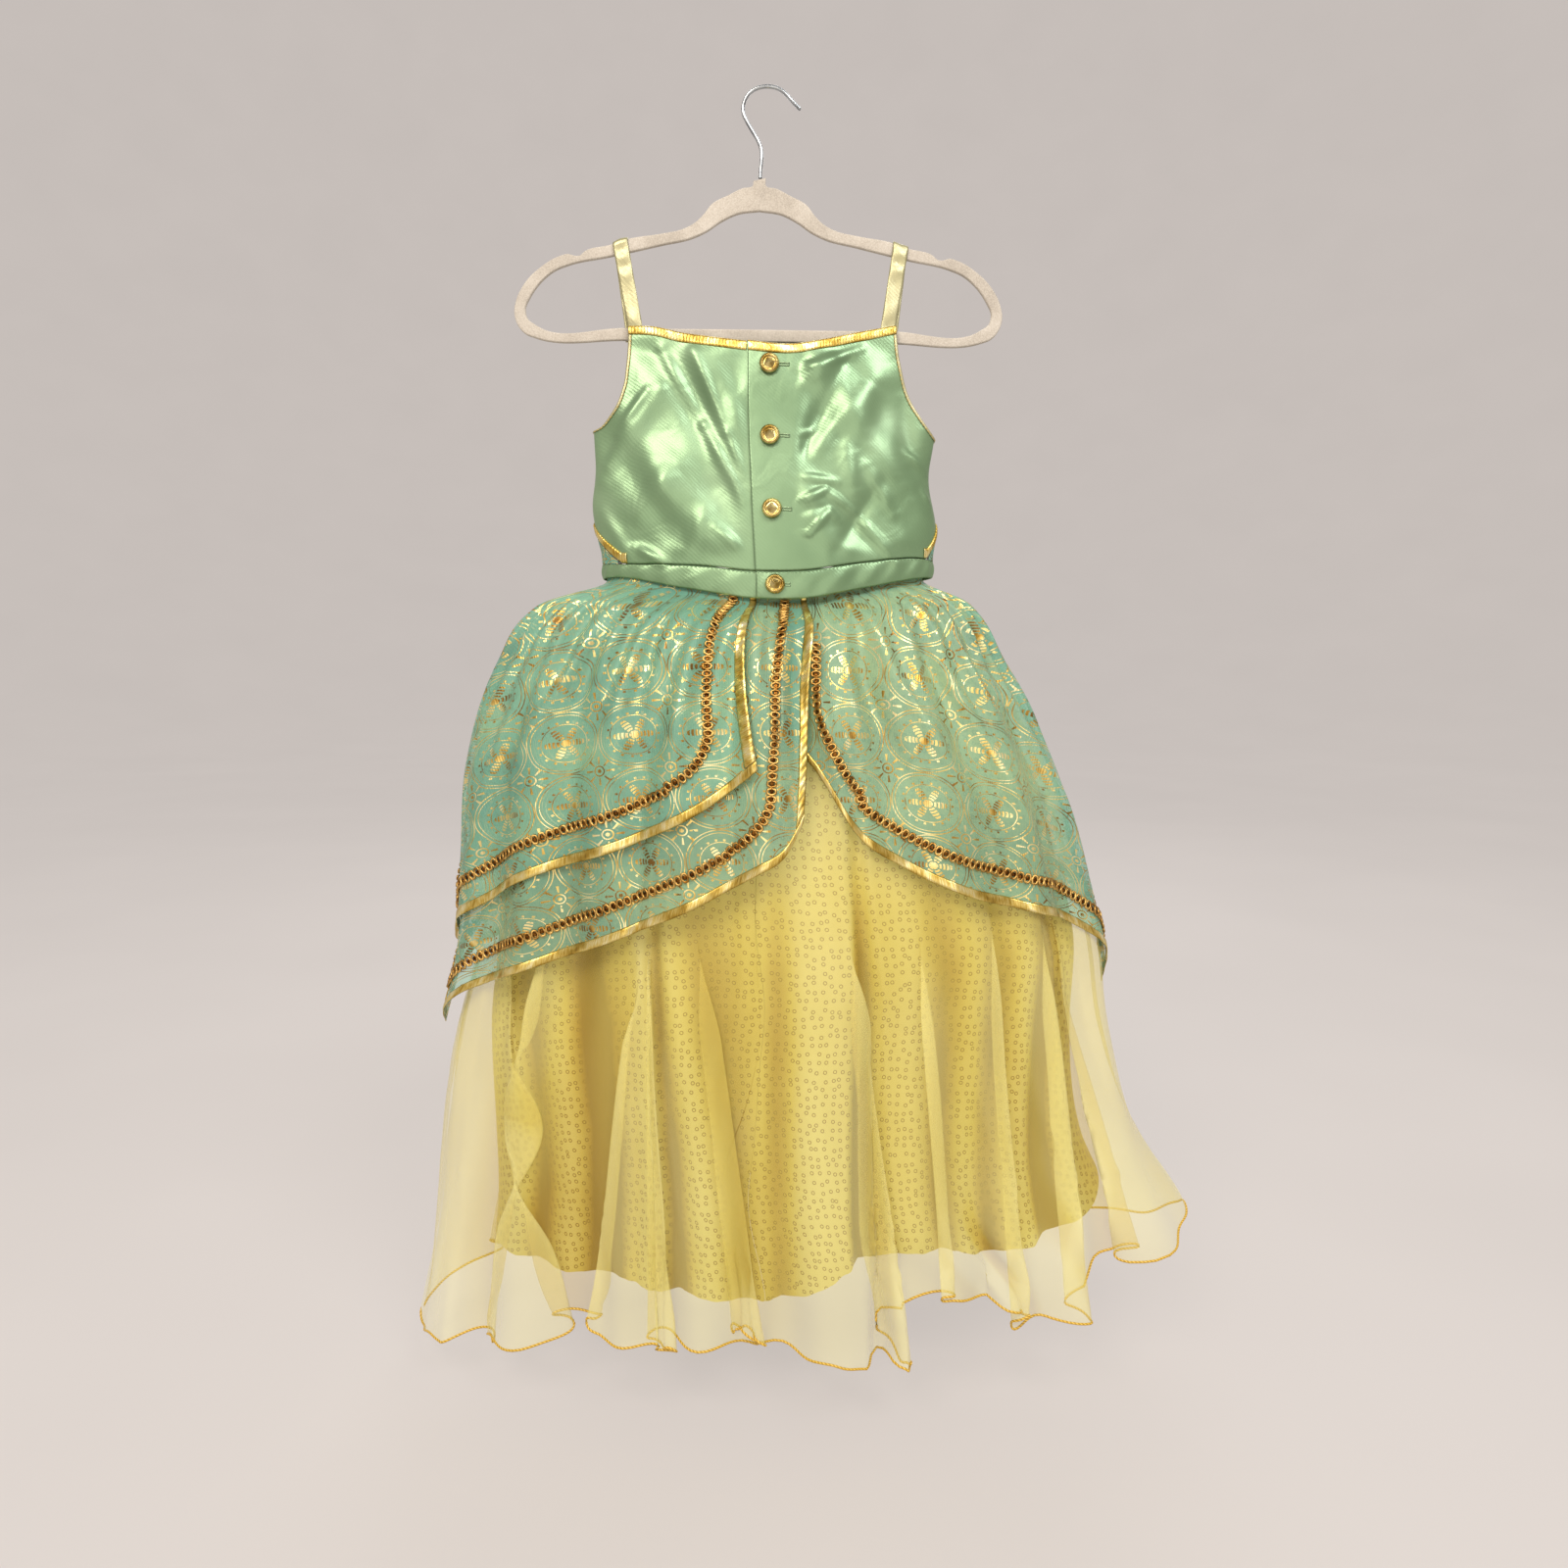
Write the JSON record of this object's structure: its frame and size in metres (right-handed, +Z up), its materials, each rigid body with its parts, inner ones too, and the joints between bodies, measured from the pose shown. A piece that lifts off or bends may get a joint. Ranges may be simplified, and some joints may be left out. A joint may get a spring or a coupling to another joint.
{
  "type": "princess costume dress on a clothes hanger",
  "caption": "Child's sleeveless costume dress with straps, buttoned back bodice, petal overskirt and sheer ruffled skirt, hung on a flocked hanger with a metal hook.",
  "frame": {"origin": "inner top of the hanger's hook, where it rests on a rail or nail", "axes": "+Z up, +X to the right of the garment seen from its buttoned back, -Y out of the buttoned back"},
  "size_m": [0.7685, 0.2284, 1.1724],
  "materials": {
    "satin": "satin",
    "print": "foil-printed organza",
    "tape": "metallic tape",
    "braid": "metallic braid",
    "binding": "satin binding",
    "strap": "satin",
    "button": "polished, faceted",
    "organza": "sheer organza",
    "dotted": "plain weave with small metallic rings",
    "flock": "flocked",
    "steel": "polished"
  },
  "bodies": {
    "root": {"bodice_back_left": "satin", "bodice_back_right": "satin", "bodice_front": "satin", "waistband_back_left": "satin", "waistband_back_right": "satin", "waistband_front": "satin", "side_inset_left": "print", "side_inset_right": "print", "overskirt_left_upper": "print", "overskirt_left_lower": "print", "overskirt_right": "print", "neck_tape_back_left": "tape", "neck_tape_back_right": "tape", "neck_tape_front": "tape", "inset_tape_back_left": "tape", "inset_tape_back_right": "tape", "inset_tape_front_left": "tape", "inset_tape_front_right": "tape", "overskirt_tape_left_upper": "tape", "overskirt_tape_left_lower": "tape", "overskirt_tape_right": "tape", "overskirt_braid_left_upper": "braid", "overskirt_braid_left_lower": "braid", "overskirt_braid_right": "braid", "armhole_binding_back_left": "binding", "armhole_binding_back_right": "binding", "armhole_binding_front_left": "binding", "armhole_binding_front_right": "binding", "strap_left": "strap", "strap_right": "strap", "button_1": "button", "button_2": "button", "button_3": "button", "button_4": "button", "organza_skirt_back_left": "organza", "organza_skirt_back_right": "organza", "organza_skirt_front": "organza", "dotted_skirt_back_left": "dotted", "dotted_skirt_back_right": "dotted", "dotted_skirt_front_left": "dotted", "dotted_skirt_front_right": "dotted", "hanger_body": "flock", "hanger_hook": "steel"}
  },
  "joints": []
}
